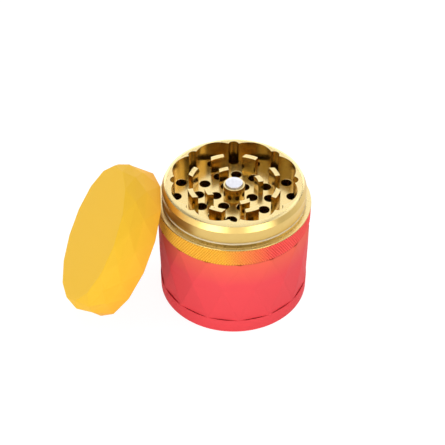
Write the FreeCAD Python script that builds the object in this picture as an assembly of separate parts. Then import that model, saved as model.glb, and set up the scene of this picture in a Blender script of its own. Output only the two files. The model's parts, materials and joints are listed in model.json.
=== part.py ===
import FreeCAD, Part
import math
import os

# Four-piece herb grinder, standing open: a faceted body of three screwed sections, and its lid,
# which leans against the collar with its open side towards the body.
# Millimetres, +Z up along the body's axis. The origin is the centre of the base's underside,
# and the lid leans in the XZ plane, on the -X side.

# Outside of the body, from the base up
BODY_RADIUS = 31.5
BASE_HEIGHT = 6.6
FACETED_HEIGHT = 30.9
FACET_ROW_HEIGHT = 16.4
KNURLED_HEIGHT = 8.4
COLLAR_HEIGHT = 9.7
COLLAR_STEP = 2.3
COLLAR_ROUNDING = 3.0
EDGE_CHAMFER = 0.4

# Triangular facets of the body and of the lid
FACET_COUNT = 15
BODY_FACET_TURN = 1.4
LID_FACET_TURN = 3.8

# Screwed joints between the sections, shown without their threads
SPIGOT_STEP = 2.9
SPIGOT_LENGTH = 3.2
THREAD_CLEARANCE = 0.25
SPIGOT_END_GAP = 0.2

# Inside of the base cup
CUP_FLOOR = 1.6
CUP_WALL = 4.5
CUP_ROUNDING = 1.5

# Inside of the storage chamber, with its sieve
STORAGE_WALL = 4.5
SIEVE_LEDGE_WIDTH = 2.2
SIEVE_LEDGE_RISE = 1.8
SIEVE_FIT = 0.1
SIEVE_THICKNESS = 0.4
SIEVE_PITCH = 2.9
SIEVE_WIRE = 0.7
SIEVE_RING_WALL = 1.7
SIEVE_RING_HEIGHT = 2.0

# Grinding chamber: floor, pocket, teeth and holes
CHAMBER_TURN = -8.3
CHAMBER_UNDERCUT_WALL = 5.5
FLOOR_RISE = 0.9
FLOOR_THICKNESS = 3.0
SECTOR_COUNT = 8
SCALLOP_RADIUS = 10.1
SCALLOP_WALL = 2.9
HOLE_RADIUS = 2.25
OUTER_HOLES_INSET = 5.7
MIDDLE_HOLES_SHARE = 0.617
INNER_HOLES_SHARE = 0.315
MIDDLE_HOLE_COUNT = 12
INNER_HOLE_COUNT = 6
INNER_HOLES_TURN = -4.5
TOOTH_WIDTH = 2.1
TOOTH_END_SLANT = 1.1
OUTER_TEETH_SHARE = 0.770
OUTER_TOOTH_LENGTH = 5.8
OUTER_TEETH_DROP = 1.3
INNER_TEETH_SHARE = 0.4745
INNER_TOOTH_LENGTH = 4.2
INNER_TEETH_COUNT = 4
INNER_TEETH_DROP = 2.8
POST_RADIUS = 4.35
POST_DROP = 2.3

# Magnets and the ring that the lid turns on
MAGNET_RADIUS = 3.5
MAGNET_HEIGHT = 2.5
MAGNET_PROUD = 0.9
MAGNET_FIT = 0.05
GLIDE_RING_RISE = 0.75
GLIDE_RING_HEIGHT = 0.9
GLIDE_RING_DEPTH = 0.65
GLIDE_RING_PROUD = 0.2
GLIDE_RING_FIT = 0.05

# Lid, measured from its open edge up to the flat top
LID_HEIGHT = 14.8
LID_MIDDLE_ROW = 6.8
LID_SHOULDER_ROW = 11.2
LID_TOP_INSET = 2.5
LID_BORE_CLEARANCE = 0.4
LID_CEILING_CLEARANCE = 0.3
LID_TOOTH_CLEARANCE = 0.7
LID_TOOTH_WIDTH = 2.4
LID_TOOTH_LENGTH = 5.2
LID_TEETH_FLOOR_GAP = 0.6
LID_BOSS_RADIUS = 5.0
MAGNET_GAP = 0.3

# How the lid leans: where its edge meets the collar below the top, and the gap it keeps
LEAN_DROP = 1.655
LEAN_GAP = 0.3

# Radii that follow from the sizes above: walls are kept, and the circles of teeth and inner
# holes are shares of the outer circle of holes
COLLAR_RADIUS = BODY_RADIUS - COLLAR_STEP
SPIGOT_RADIUS = BODY_RADIUS - SPIGOT_STEP
SOCKET_RADIUS = SPIGOT_RADIUS + THREAD_CLEARANCE
CUP_RADIUS = BODY_RADIUS - CUP_WALL
STORAGE_BORE = BODY_RADIUS - STORAGE_WALL
SIEVE_OPENING = STORAGE_BORE - SIEVE_LEDGE_WIDTH
CHAMBER_UNDERCUT_RADIUS = BODY_RADIUS - CHAMBER_UNDERCUT_WALL
SCALLOP_CENTRE = COLLAR_RADIUS - SCALLOP_WALL - SCALLOP_RADIUS
OUTER_HOLE_CIRCLE = COLLAR_RADIUS - OUTER_HOLES_INSET
MIDDLE_HOLE_CIRCLE = OUTER_HOLE_CIRCLE * MIDDLE_HOLES_SHARE
INNER_HOLE_CIRCLE = OUTER_HOLE_CIRCLE * INNER_HOLES_SHARE
OUTER_TEETH_CIRCLE = OUTER_HOLE_CIRCLE * OUTER_TEETH_SHARE
INNER_TEETH_CIRCLE = OUTER_HOLE_CIRCLE * INNER_TEETH_SHARE
LID_TOP_RADIUS = BODY_RADIUS - LID_TOP_INSET

# Levels and angles that follow from the sizes above
BODY_TOP = BASE_HEIGHT + FACETED_HEIGHT
SHOULDER = BODY_TOP + KNURLED_HEIGHT
COLLAR_TOP = SHOULDER + COLLAR_HEIGHT
CHAMBER_FLOOR = SHOULDER + FLOOR_RISE
CHAMBER_FLOOR_UNDERSIDE = CHAMBER_FLOOR - FLOOR_THICKNESS
SOCKET_DEPTH = SPIGOT_LENGTH + SPIGOT_END_GAP
SIEVE_LEDGE = BASE_HEIGHT + SIEVE_LEDGE_RISE
FACET_STEP = 360.0 / FACET_COUNT
SECTOR = 360.0 / SECTOR_COUNT
LID_SLOPE = math.degrees(math.asin((COLLAR_TOP - LEAN_DROP) / (2 * BODY_RADIUS)))
CUT_MARGIN = 1.0


def point(radius, level):
    """A point of a turned profile, in the XZ plane."""
    return FreeCAD.Vector(radius, 0, level)


def polar(radius, degrees, level=0.0):
    """A point at a radius and an angle about the Z axis."""
    angle = math.radians(degrees)
    return FreeCAD.Vector(radius * math.cos(angle), radius * math.sin(angle), level)


def turned(edges):
    """The solid that a closed profile of edges makes when it is turned about the Z axis."""
    face = Part.Face(Part.Wire(edges))
    return face.revolve(FreeCAD.Vector(0, 0, 0), FreeCAD.Vector(0, 0, 1), 360)


def profile(points):
    """Straight edges through a closed run of points."""
    return Part.makePolygon(points + points[:1]).Edges


def rounded_corner(centre, radius, start_degrees, end_degrees):
    """An arc of a turned profile about a centre, from one angle to another."""
    def on_arc(degrees):
        angle = math.radians(degrees)
        return centre + FreeCAD.Vector(radius * math.cos(angle), 0, radius * math.sin(angle))
    middle_degrees = (start_degrees + end_degrees) / 2
    return Part.Arc(on_arc(start_degrees), on_arc(middle_degrees), on_arc(end_degrees)).toShape()


def cylinder(radius, bottom, top, centre=None):
    """An upright cylinder between two levels, on the axis or about a centre."""
    foot = FreeCAD.Vector(0, 0, bottom) if centre is None else FreeCAD.Vector(centre.x, centre.y, bottom)
    return Part.makeCylinder(radius, top - bottom, foot)


def around(count, first_degrees=0.0):
    """Evenly spaced angles round a circle."""
    return [first_degrees + index * 360.0 / count for index in range(count)]


def facet_row(radius, level, turn):
    """The corners of one row of facets, from its first corner round."""
    return [polar(radius, degrees, level) for degrees in around(FACET_COUNT, turn)]


def triangle(first, second, third):
    """A flat three-cornered face."""
    return Part.Face(Part.makePolygon([first, second, third, first]))


def faceted(rows):
    """A closed solid of triangles between rows of corners.

    Each row is (radius, level, turn), from the bottom up, and is turned half a step
    from the row below it: forwards from an even row and back again from an odd one.
    """
    corners = [facet_row(*row) for row in rows]
    faces = [Part.Face(Part.makePolygon(ring + ring[:1])) for ring in (corners[0], corners[-1])]
    for index in range(len(rows) - 1):
        lower = corners[index]
        upper = corners[index + 1]
        ahead = index % 2 == 0
        for here in range(FACET_COUNT):
            after = (here + 1) % FACET_COUNT
            if ahead:
                faces.append(triangle(lower[here], lower[after], upper[here]))
                faces.append(triangle(upper[here], lower[after], upper[after]))
            else:
                faces.append(triangle(lower[here], upper[after], upper[here]))
                faces.append(triangle(lower[here], lower[after], upper[after]))
    shell = Part.makeShell(faces)
    shell.sewShape()
    solid = Part.makeSolid(shell)
    if solid.Volume < 0:
        solid.reverse()
    return solid


def tooth(circle, width, length, bottom, top, degrees):
    """A tooth whose long sides follow circles about the axis.

    Its trailing end is square to them. Its leading end is slanted, with the inner corner ahead.
    """
    inner = circle - width / 2
    outer = circle + width / 2
    trailing = degrees - math.degrees(length / 2 / circle)
    leading = degrees + math.degrees(length / 2 / circle)
    lead = math.degrees(TOOTH_END_SLANT / 2 / circle)
    inner_end = leading + lead
    outer_end = leading - lead
    inner_middle = polar(inner, (trailing + inner_end) / 2)
    outer_middle = polar(outer, (trailing + outer_end) / 2)
    edges = [
        Part.Arc(polar(inner, trailing), inner_middle, polar(inner, inner_end)).toShape(),
        Part.makeLine(polar(inner, inner_end), polar(outer, outer_end)),
        Part.Arc(polar(outer, outer_end), outer_middle, polar(outer, trailing)).toShape(),
        Part.makeLine(polar(outer, trailing), polar(inner, trailing)),
    ]
    face = Part.Face(Part.Wire(edges))
    face.translate(FreeCAD.Vector(0, 0, bottom))
    return face.extrude(FreeCAD.Vector(0, 0, top - bottom))


def make_base_cup():
    """The shallow cup at the bottom, with a socket for the section above and a rounded bowl."""
    bowl_top = BASE_HEIGHT - SOCKET_DEPTH
    rounding_centre = point(CUP_RADIUS - CUP_ROUNDING, CUP_FLOOR + CUP_ROUNDING)
    outline = [
        point(CUP_RADIUS - CUP_ROUNDING, CUP_FLOOR),
        point(0, CUP_FLOOR),
        point(0, 0),
        point(BODY_RADIUS - EDGE_CHAMFER, 0),
        point(BODY_RADIUS, EDGE_CHAMFER),
        point(BODY_RADIUS, BASE_HEIGHT),
        point(SOCKET_RADIUS, BASE_HEIGHT),
        point(SOCKET_RADIUS, bowl_top),
        point(CUP_RADIUS, bowl_top),
        point(CUP_RADIUS, CUP_FLOOR + CUP_ROUNDING),
    ]
    edges = Part.makePolygon(outline).Edges
    edges.append(rounded_corner(rounding_centre, CUP_ROUNDING, 0, -90))
    return turned(edges)


def make_storage_chamber():
    """The faceted middle section: a spigot below, a sieve ledge, and a socket at the top."""
    rows = [
        (BODY_RADIUS, BASE_HEIGHT, BODY_FACET_TURN),
        (BODY_RADIUS, BASE_HEIGHT + FACET_ROW_HEIGHT, BODY_FACET_TURN + FACET_STEP / 2),
        (BODY_RADIUS, BODY_TOP, BODY_FACET_TURN),
    ]
    spigot_end = BASE_HEIGHT - SPIGOT_LENGTH
    spigot = turned(profile([
        point(0, spigot_end),
        point(SPIGOT_RADIUS - EDGE_CHAMFER, spigot_end),
        point(SPIGOT_RADIUS, spigot_end + EDGE_CHAMFER),
        point(SPIGOT_RADIUS, BASE_HEIGHT + CUT_MARGIN),
        point(0, BASE_HEIGHT + CUT_MARGIN),
    ]))
    socket_floor = BODY_TOP - SOCKET_DEPTH
    hollow = turned(profile([
        point(0, spigot_end - CUT_MARGIN),
        point(SIEVE_OPENING, spigot_end - CUT_MARGIN),
        point(SIEVE_OPENING, SIEVE_LEDGE),
        point(STORAGE_BORE, SIEVE_LEDGE),
        point(STORAGE_BORE, socket_floor),
        point(SOCKET_RADIUS, socket_floor),
        point(SOCKET_RADIUS, BODY_TOP + CUT_MARGIN),
        point(0, BODY_TOP + CUT_MARGIN),
    ]))
    return faceted(rows).fuse(spigot).cut(hollow).removeSplitter()


def make_sieve_screen():
    """The sieve, as a flat net that is coarser than the woven one."""
    rim = Part.Wire(Part.makeCircle(STORAGE_BORE - SIEVE_FIT))
    gap = SIEVE_PITCH - SIEVE_WIRE
    reach = SIEVE_OPENING - SIEVE_WIRE
    count = int(reach / SIEVE_PITCH) + 1
    openings = []
    for column in range(-count, count + 1):
        for row in range(-count, count + 1):
            middle = FreeCAD.Vector(column * SIEVE_PITCH, row * SIEVE_PITCH, 0)
            if math.hypot(abs(middle.x) + gap / 2, abs(middle.y) + gap / 2) > reach:
                continue
            corners = [middle + FreeCAD.Vector(x * gap / 2, y * gap / 2, 0)
                       for x, y in ((-1, -1), (1, -1), (1, 1), (-1, 1))]
            openings.append(Part.makePolygon(corners + corners[:1]))
    net = Part.Face([rim] + openings)
    net.validate()
    net.translate(FreeCAD.Vector(0, 0, SIEVE_LEDGE))
    return net.extrude(FreeCAD.Vector(0, 0, SIEVE_THICKNESS))


def make_sieve_ring():
    """The ring that holds the sieve down on its ledge."""
    outer = STORAGE_BORE - SIEVE_FIT
    inner = outer - SIEVE_RING_WALL
    bottom = SIEVE_LEDGE + SIEVE_THICKNESS
    top = bottom + SIEVE_RING_HEIGHT
    return turned(profile([
        point(inner, bottom),
        point(outer, bottom),
        point(outer, top),
        point(inner + EDGE_CHAMFER, top),
        point(inner, top - EDGE_CHAMFER),
    ]))


def chamber_blank():
    """The turned outside of the grinding chamber, still solid above its floor."""
    spigot_end = BODY_TOP - SPIGOT_LENGTH
    groove_bottom = SHOULDER + GLIDE_RING_RISE - GLIDE_RING_FIT
    groove_top = groove_bottom + GLIDE_RING_HEIGHT + 2 * GLIDE_RING_FIT
    groove_radius = COLLAR_RADIUS - GLIDE_RING_DEPTH - GLIDE_RING_FIT
    rounding_centre = point(COLLAR_RADIUS - COLLAR_ROUNDING, COLLAR_TOP - COLLAR_ROUNDING)
    outline = [
        point(COLLAR_RADIUS - COLLAR_ROUNDING, COLLAR_TOP),
        point(0, COLLAR_TOP),
        point(0, CHAMBER_FLOOR_UNDERSIDE),
        point(CHAMBER_UNDERCUT_RADIUS, CHAMBER_FLOOR_UNDERSIDE),
        point(CHAMBER_UNDERCUT_RADIUS, spigot_end),
        point(SPIGOT_RADIUS - EDGE_CHAMFER, spigot_end),
        point(SPIGOT_RADIUS, spigot_end + EDGE_CHAMFER),
        point(SPIGOT_RADIUS, BODY_TOP),
        point(BODY_RADIUS, BODY_TOP),
        point(BODY_RADIUS, SHOULDER - EDGE_CHAMFER),
        point(BODY_RADIUS - EDGE_CHAMFER, SHOULDER),
        point(COLLAR_RADIUS, SHOULDER),
        point(COLLAR_RADIUS, groove_bottom),
        point(groove_radius, groove_bottom),
        point(groove_radius, groove_top),
        point(COLLAR_RADIUS, groove_top),
        point(COLLAR_RADIUS, COLLAR_TOP - COLLAR_ROUNDING),
    ]
    edges = Part.makePolygon(outline).Edges
    edges.append(rounded_corner(rounding_centre, COLLAR_ROUNDING, 0, 90))
    return turned(edges)


def chamber_pocket():
    """Cutters of the pocket: a round middle, and a scallop between every two flutes."""
    middle = cylinder(SCALLOP_CENTRE, CHAMBER_FLOOR, COLLAR_TOP + CUT_MARGIN)
    scallops = [cylinder(SCALLOP_RADIUS, CHAMBER_FLOOR, COLLAR_TOP + CUT_MARGIN,
                         polar(SCALLOP_CENTRE, degrees))
                for degrees in around(SECTOR_COUNT, CHAMBER_TURN + SECTOR / 2)]
    return [middle] + scallops


def chamber_drills():
    """Cutters of the holes: the outer ones in line with the wall cut a flute in it."""
    below = CHAMBER_FLOOR_UNDERSIDE - CUT_MARGIN
    above = CHAMBER_FLOOR + CUT_MARGIN
    rings = [
        (OUTER_HOLE_CIRCLE, around(SECTOR_COUNT, CHAMBER_TURN), COLLAR_TOP + CUT_MARGIN),
        (OUTER_HOLE_CIRCLE, around(SECTOR_COUNT, CHAMBER_TURN + SECTOR / 2), above),
        (MIDDLE_HOLE_CIRCLE, around(MIDDLE_HOLE_COUNT, CHAMBER_TURN + INNER_HOLES_TURN), above),
        (INNER_HOLE_CIRCLE, around(INNER_HOLE_COUNT, CHAMBER_TURN + INNER_HOLES_TURN), above),
    ]
    return [cylinder(HOLE_RADIUS, below, top, polar(circle, degrees))
            for circle, angles, top in rings for degrees in angles]


def chamber_teeth():
    """Teeth that stand on the floor: a full ring outside and half as many inside."""
    root = CHAMBER_FLOOR - FLOOR_RISE
    outer = [tooth(OUTER_TEETH_CIRCLE, TOOTH_WIDTH, OUTER_TOOTH_LENGTH, root,
                   COLLAR_TOP - OUTER_TEETH_DROP, degrees)
             for degrees in around(SECTOR_COUNT, CHAMBER_TURN + SECTOR / 2)]
    inner = [tooth(INNER_TEETH_CIRCLE, TOOTH_WIDTH, INNER_TOOTH_LENGTH, root,
                   COLLAR_TOP - INNER_TEETH_DROP, degrees)
             for degrees in around(INNER_TEETH_COUNT, CHAMBER_TURN + SECTOR / 2)]
    return outer + inner


def make_grinding_chamber():
    """The section that grinds: knurled grip, collar, fluted pocket, teeth, holes and post."""
    post_top = COLLAR_TOP - POST_DROP
    pocket_bottom = post_top + MAGNET_PROUD - MAGNET_HEIGHT
    post = cylinder(POST_RADIUS, CHAMBER_FLOOR - FLOOR_RISE, post_top)
    magnet_pocket = cylinder(MAGNET_RADIUS + MAGNET_FIT, pocket_bottom, post_top + CUT_MARGIN)
    body = chamber_blank().cut(chamber_pocket() + chamber_drills())
    return body.fuse(chamber_teeth() + [post]).cut(magnet_pocket).removeSplitter()


def make_chamber_magnet():
    """The disc magnet that stands a little proud of the post."""
    top = COLLAR_TOP - POST_DROP + MAGNET_PROUD
    return magnet_disc(top - MAGNET_HEIGHT)


def magnet_disc(bottom):
    """A disc magnet with chamfered rims."""
    top = bottom + MAGNET_HEIGHT
    chamfer = EDGE_CHAMFER / 2
    return turned(profile([
        point(0, bottom),
        point(MAGNET_RADIUS - chamfer, bottom),
        point(MAGNET_RADIUS, bottom + chamfer),
        point(MAGNET_RADIUS, top - chamfer),
        point(MAGNET_RADIUS - chamfer, top),
        point(0, top),
    ]))


def make_glide_ring():
    """The plastic ring in the collar's groove, on which the lid turns."""
    bottom = SHOULDER + GLIDE_RING_RISE
    top = bottom + GLIDE_RING_HEIGHT
    inner = COLLAR_RADIUS - GLIDE_RING_DEPTH
    outer = COLLAR_RADIUS + GLIDE_RING_PROUD
    return turned(profile([
        point(inner, bottom),
        point(outer - GLIDE_RING_PROUD, bottom),
        point(outer, bottom + GLIDE_RING_PROUD),
        point(outer, top - GLIDE_RING_PROUD),
        point(outer - GLIDE_RING_PROUD, top),
        point(inner, top),
    ]))


def lid_ceiling():
    """Height of the lid's inner face above its open edge."""
    return COLLAR_HEIGHT + LID_CEILING_CLEARANCE


def lid_magnet_bottom():
    """Height of the lid magnet's lower face, just above the other magnet when closed."""
    return COLLAR_HEIGHT - POST_DROP + MAGNET_PROUD + MAGNET_GAP


def lid_teeth():
    """Teeth that hang from the lid and pass between the rings of the chamber's teeth."""
    bottom = FLOOR_RISE + LID_TEETH_FLOOR_GAP
    top = lid_ceiling() + FLOOR_RISE
    outside = OUTER_TEETH_CIRCLE + TOOTH_WIDTH / 2 + LID_TOOTH_CLEARANCE + LID_TOOTH_WIDTH / 2
    between = (OUTER_TEETH_CIRCLE + INNER_TEETH_CIRCLE) / 2
    rings = [
        (outside, SECTOR_COUNT),
        (between, INNER_TEETH_COUNT),
    ]
    return [tooth(circle, LID_TOOTH_WIDTH, LID_TOOTH_LENGTH, bottom, top, degrees)
            for circle, count in rings for degrees in around(count, LID_FACET_TURN)]


def leaning(shape):
    """A shape made about the lid's own axis, open edge down, put where the lid leans.

    The lower edge of its open side stands on the ground and the upper one meets the collar.
    """
    slope = math.radians(LID_SLOPE)
    foot = -(COLLAR_RADIUS + LEAN_GAP + 2 * BODY_RADIUS * math.cos(slope))
    shape.rotate(FreeCAD.Vector(0, 0, 0), FreeCAD.Vector(0, 1, 0), -LID_SLOPE)
    shape.translate(FreeCAD.Vector(foot + BODY_RADIUS * math.cos(slope), 0, BODY_RADIUS * math.sin(slope)))
    return shape


def make_lid():
    """The faceted lid: flat top, a bore for the collar, teeth, and a boss for its magnet."""
    rows = [
        (BODY_RADIUS, 0, LID_FACET_TURN),
        (BODY_RADIUS, LID_MIDDLE_ROW, LID_FACET_TURN + FACET_STEP / 2),
        (BODY_RADIUS, LID_SHOULDER_ROW, LID_FACET_TURN),
        (LID_TOP_RADIUS, LID_HEIGHT, LID_FACET_TURN + FACET_STEP / 2),
    ]
    ceiling = lid_ceiling()
    magnet_bottom = lid_magnet_bottom()
    bore = cylinder(COLLAR_RADIUS + LID_BORE_CLEARANCE, -CUT_MARGIN, ceiling)
    boss = cylinder(LID_BOSS_RADIUS, magnet_bottom + MAGNET_FIT, ceiling + FLOOR_RISE)
    magnet_pocket = cylinder(MAGNET_RADIUS + MAGNET_FIT, -CUT_MARGIN,
                             magnet_bottom + MAGNET_HEIGHT + MAGNET_FIT)
    shell = faceted(rows).cut(bore)
    return leaning(shell.fuse(lid_teeth() + [boss]).cut(magnet_pocket).removeSplitter())


def make_lid_magnet():
    """The disc magnet in the lid's boss."""
    return leaning(magnet_disc(lid_magnet_bottom()))


MAKERS = {
    "base_cup": make_base_cup,
    "storage_chamber": make_storage_chamber,
    "sieve_screen": make_sieve_screen,
    "sieve_ring": make_sieve_ring,
    "grinding_chamber": make_grinding_chamber,
    "chamber_magnet": make_chamber_magnet,
    "glide_ring": make_glide_ring,
    "lid": make_lid,
    "lid_magnet": make_lid_magnet,
}

os.makedirs("parts", exist_ok=True)
for node, make in MAKERS.items():
    shape = make()
    shape.exportStep(os.path.join("parts", node + ".step"))
    print(node, "solids", len(shape.Solids), "valid", shape.isValid(), "volume", round(shape.Volume, 1))
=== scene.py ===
# %% [markdown]
# A herb grinder, open. The body is three screwed sections: a plain cup, a faceted storage
# chamber and a gold grinding chamber with a knurled grip. The faceted lid is off and leans on it.
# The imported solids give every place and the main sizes. This lesson dresses each of them in
# turn, from the big faceted forms down to the teeth, and ends with the light and the camera.

# %% Load the frame
import json
import math

import bmesh
import bpy
from mathutils import Matrix, Vector


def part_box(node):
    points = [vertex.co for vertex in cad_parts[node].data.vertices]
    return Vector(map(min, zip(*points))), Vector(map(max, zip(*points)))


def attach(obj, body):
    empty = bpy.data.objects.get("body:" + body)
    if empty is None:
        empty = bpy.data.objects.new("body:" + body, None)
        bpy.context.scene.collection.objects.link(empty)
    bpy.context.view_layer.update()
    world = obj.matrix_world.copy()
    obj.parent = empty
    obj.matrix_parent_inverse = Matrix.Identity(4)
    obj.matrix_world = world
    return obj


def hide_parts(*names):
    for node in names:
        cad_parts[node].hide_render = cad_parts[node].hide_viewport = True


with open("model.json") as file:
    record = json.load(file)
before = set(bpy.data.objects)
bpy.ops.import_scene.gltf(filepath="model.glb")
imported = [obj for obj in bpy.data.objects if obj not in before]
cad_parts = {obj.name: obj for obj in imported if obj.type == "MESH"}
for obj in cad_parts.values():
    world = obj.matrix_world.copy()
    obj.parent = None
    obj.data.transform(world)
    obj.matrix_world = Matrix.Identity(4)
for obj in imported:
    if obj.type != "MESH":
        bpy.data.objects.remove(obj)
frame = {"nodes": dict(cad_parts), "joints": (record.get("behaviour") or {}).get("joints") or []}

scene = bpy.context.scene
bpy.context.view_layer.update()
print("solids", sorted(frame["nodes"]))

# %% [markdown]
# Main sizes come from the boxes of the solids, in metres, so they can't drift away from them.
# The rest repeat the sizes of the model in millimetres, so each is written with MM beside it,
# as a maker would read it.

# %% Sizes of the body
MM = 0.001
BODY_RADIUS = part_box("base_cup")[1].x
BASE_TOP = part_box("base_cup")[1].z
BODY_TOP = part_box("storage_chamber")[1].z
COLLAR_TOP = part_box("grinding_chamber")[1].z
SHOULDER = BODY_TOP + 8.4 * MM
COLLAR_RADIUS = 29.2 * MM
COLLAR_ROUNDING = 3.0 * MM
SOCKET_RADIUS = 28.85 * MM
SPIGOT_RADIUS = 28.6 * MM
SPIGOT_LENGTH = 3.2 * MM
SOCKET_DEPTH = 3.4 * MM
UNDERCUT_RADIUS = 26.0 * MM
CHAMBER_FLOOR = SHOULDER + 0.9 * MM
FLOOR_UNDERSIDE = CHAMBER_FLOOR - 3.0 * MM
print("body radius mm", round(BODY_RADIUS / MM, 2), "collar top mm", round(COLLAR_TOP / MM, 2))

# %% [markdown]
# Every piece ends the same way: doubles merged, faces turned outwards, and smooth shading
# that stops at real edges. One function does that, and hangs the piece on its body. Cut
# facets meet at shallow angles, so the pieces that have them stop smoothing much sooner. The
# milled block stops a little sooner than turned pieces, just short of the slope at the mouths
# of its holes, so that its floor, which mirrors, is flat right up to them.

# %% Finish a piece
SMOOTH_TURNED = math.radians(24)
SMOOTH_MILLED = math.radians(22)
SMOOTH_FACETED = math.radians(3.5)
MERGE_DISTANCE = 0.002 * MM


def make_piece(bm, name, materials, body, node, place=None, smooth_below=SMOOTH_TURNED):
    """Turns a finished bmesh into an object that stands for a solid and moves with its body."""
    bmesh.ops.remove_doubles(bm, verts=bm.verts, dist=MERGE_DISTANCE)
    bmesh.ops.recalc_face_normals(bm, faces=bm.faces)
    if place is not None:
        bmesh.ops.transform(bm, matrix=place, verts=bm.verts)
    mesh = bpy.data.meshes.new(name)
    bm.to_mesh(mesh)
    bm.free()
    mesh.shade_smooth()
    mesh.set_sharp_from_angle(angle=smooth_below)
    for material in materials:
        mesh.materials.append(material)
    piece = bpy.data.objects.new(name, mesh)
    scene.collection.objects.link(piece)
    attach(piece, body)
    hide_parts(node)
    print(name, len(mesh.polygons), "faces on", body)


print("turned pieces are smooth below", round(math.degrees(SMOOTH_TURNED)), "degrees")

# %% [markdown]
# Colours are written as they look on a screen, in sRGB, and Blender's shaders want linear
# light, so one function turns one into the other. Another small one adds a node.

# %% Colour and node helpers
def linear(code):
    """Linear colour of an sRGB hex code."""
    channels = [int(code[index:index + 2], 16) / 255 for index in (1, 3, 5)]
    straight = [c / 12.92 if c <= 0.04045 else ((c + 0.055) / 1.055) ** 2.4 for c in channels]
    return (*straight, 1.0)


def add(tree, kind, inputs=None, **settings):
    """Adds a node, gives it its settings, and fills its inputs with values or links."""
    node = tree.nodes.new(kind)
    for name, value in settings.items():
        setattr(node, name, value)
    for key, value in (inputs or {}).items():
        if isinstance(value, bpy.types.NodeSocket):
            tree.links.new(value, node.inputs[key])
        else:
            node.inputs[key].default_value = value
    return node


def new_material(name):
    """An empty material with its tree, principled shader and object coordinates."""
    material = bpy.data.materials.new(name)
    material.use_nodes = True
    tree = material.node_tree
    shader = tree.nodes["Principled BSDF"]
    place = add(tree, "ShaderNodeTexCoord").outputs["Object"]
    return material, tree, shader, place


print("mid grey in linear light", round(linear("#808080")[0], 3))

# %% [markdown]
# The coat is a soft-touch lacquer sprayed on the metal: no metallic look, hardly any gloss,
# and the slight orange peel that spraying leaves. The spray fades from yellow to red across
# the grip, and a little along the body, so the colour follows a straight line through the
# piece, as the gun saw it. The lid leans to orange along its axis in the same way, but there
# the orange is painted shade. A painted picture could hold the fade, but it would have to be
# unwrapped round each piece. A direction and two ends say the same in one line.
# Slow clouds push the fade to and fro by a millimetre, as no hand sprays it straight.

# %% Sprayed lacquer
ORANGE_PEEL = 0.5 * MM
PEEL_DEPTH = 0.02 * MM
PEEL_STRENGTH = 0.12
CLOUDING = 9.0 * MM
FADE_DRIFT = 1.0 * MM
KNURL_DEPTH = 0.45 * MM
# The grip's grooves darken towards their floor: partly pooled lacquer, partly painted shade.
POOL_AND_SHADE_DEPTH = 0.3 * KNURL_DEPTH
POOL_AND_SHADE_TINT = "#C89F94"
LACQUER_ROUGHNESS = 0.65
LACQUER_IOR = 1.5
LACQUER_GLOSS = 0.25
UNEVENNESS = 0.05


def sprayed_lacquer(name, stops, direction, start, end, grooves=None):
    """Matt lacquer whose colours follow a line, from start to end along a direction.

    stops are (share of the way, hex colour). grooves gives the radii between which the coat
    darkens towards the floor of a knurl: partly pooled lacquer, partly painted shade.
    """
    material, tree, shader, place = new_material(name)
    along = add(tree, "ShaderNodeVectorMath", {0: place, 1: direction}, operation="DOT_PRODUCT")
    cloud = add(tree, "ShaderNodeTexNoise",
                {"Vector": place, "Scale": 1 / CLOUDING, "Detail": 3.0})
    drift = add(tree, "ShaderNodeMath",
                {0: cloud.outputs["Fac"], 1: 2 * FADE_DRIFT, 2: -FADE_DRIFT},
                operation="MULTIPLY_ADD")
    spread = add(tree, "ShaderNodeMath", {0: along.outputs["Value"], 1: drift.outputs[0]})
    share = add(tree, "ShaderNodeMapRange",
                {"Value": spread.outputs[0], "From Min": start, "From Max": end})
    ramp = add(tree, "ShaderNodeValToRGB", {"Fac": share.outputs["Result"]})
    elements = ramp.color_ramp.elements
    while len(elements) < len(stops):
        elements.new(1.0)
    for element, (position, code) in zip(elements, stops):
        element.position = position
        element.color = linear(code)
    colour = ramp.outputs["Color"]
    # Darker towards the floor of the grooves: partly pooled lacquer, partly painted shade.
    if grooves is not None:
        flat = add(tree, "ShaderNodeVectorMath", {0: place, 1: (1.0, 1.0, 0.0)},
                   operation="MULTIPLY")
        reach = add(tree, "ShaderNodeVectorMath", {0: flat.outputs["Vector"]}, operation="LENGTH")
        pool_and_shade = add(tree, "ShaderNodeMapRange",
                   {"Value": reach.outputs["Value"], "From Min": grooves[0],
                    "From Max": grooves[1], "To Min": 1.0, "To Max": 0.0})
        pooled_and_shaded = add(tree, "ShaderNodeMix",
                     {"Factor": pool_and_shade.outputs["Result"], "A": colour, "B": linear(POOL_AND_SHADE_TINT)},
                     data_type="RGBA", blend_type="MULTIPLY")
        colour = pooled_and_shaded.outputs["Result"]
    tree.links.new(colour, shader.inputs["Base Color"])
    peel = add(tree, "ShaderNodeTexNoise",
               {"Vector": place, "Scale": 1 / ORANGE_PEEL, "Detail": 2.0})
    bump = add(tree, "ShaderNodeBump",
               {"Height": peel.outputs["Fac"], "Strength": PEEL_STRENGTH, "Distance": PEEL_DEPTH})
    tree.links.new(bump.outputs["Normal"], shader.inputs["Normal"])
    sheen = add(tree, "ShaderNodeMapRange",
                {"Value": peel.outputs["Fac"], "To Min": LACQUER_ROUGHNESS - UNEVENNESS,
                 "To Max": LACQUER_ROUGHNESS + UNEVENNESS})
    tree.links.new(sheen.outputs["Result"], shader.inputs["Roughness"])
    shader.inputs["IOR"].default_value = LACQUER_IOR
    shader.inputs["Specular IOR Level"].default_value = LACQUER_GLOSS
    print(name, "with", len(stops), "colours")
    return material


print("lacquer with an orange peel of", ORANGE_PEEL / MM, "mm")
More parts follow.
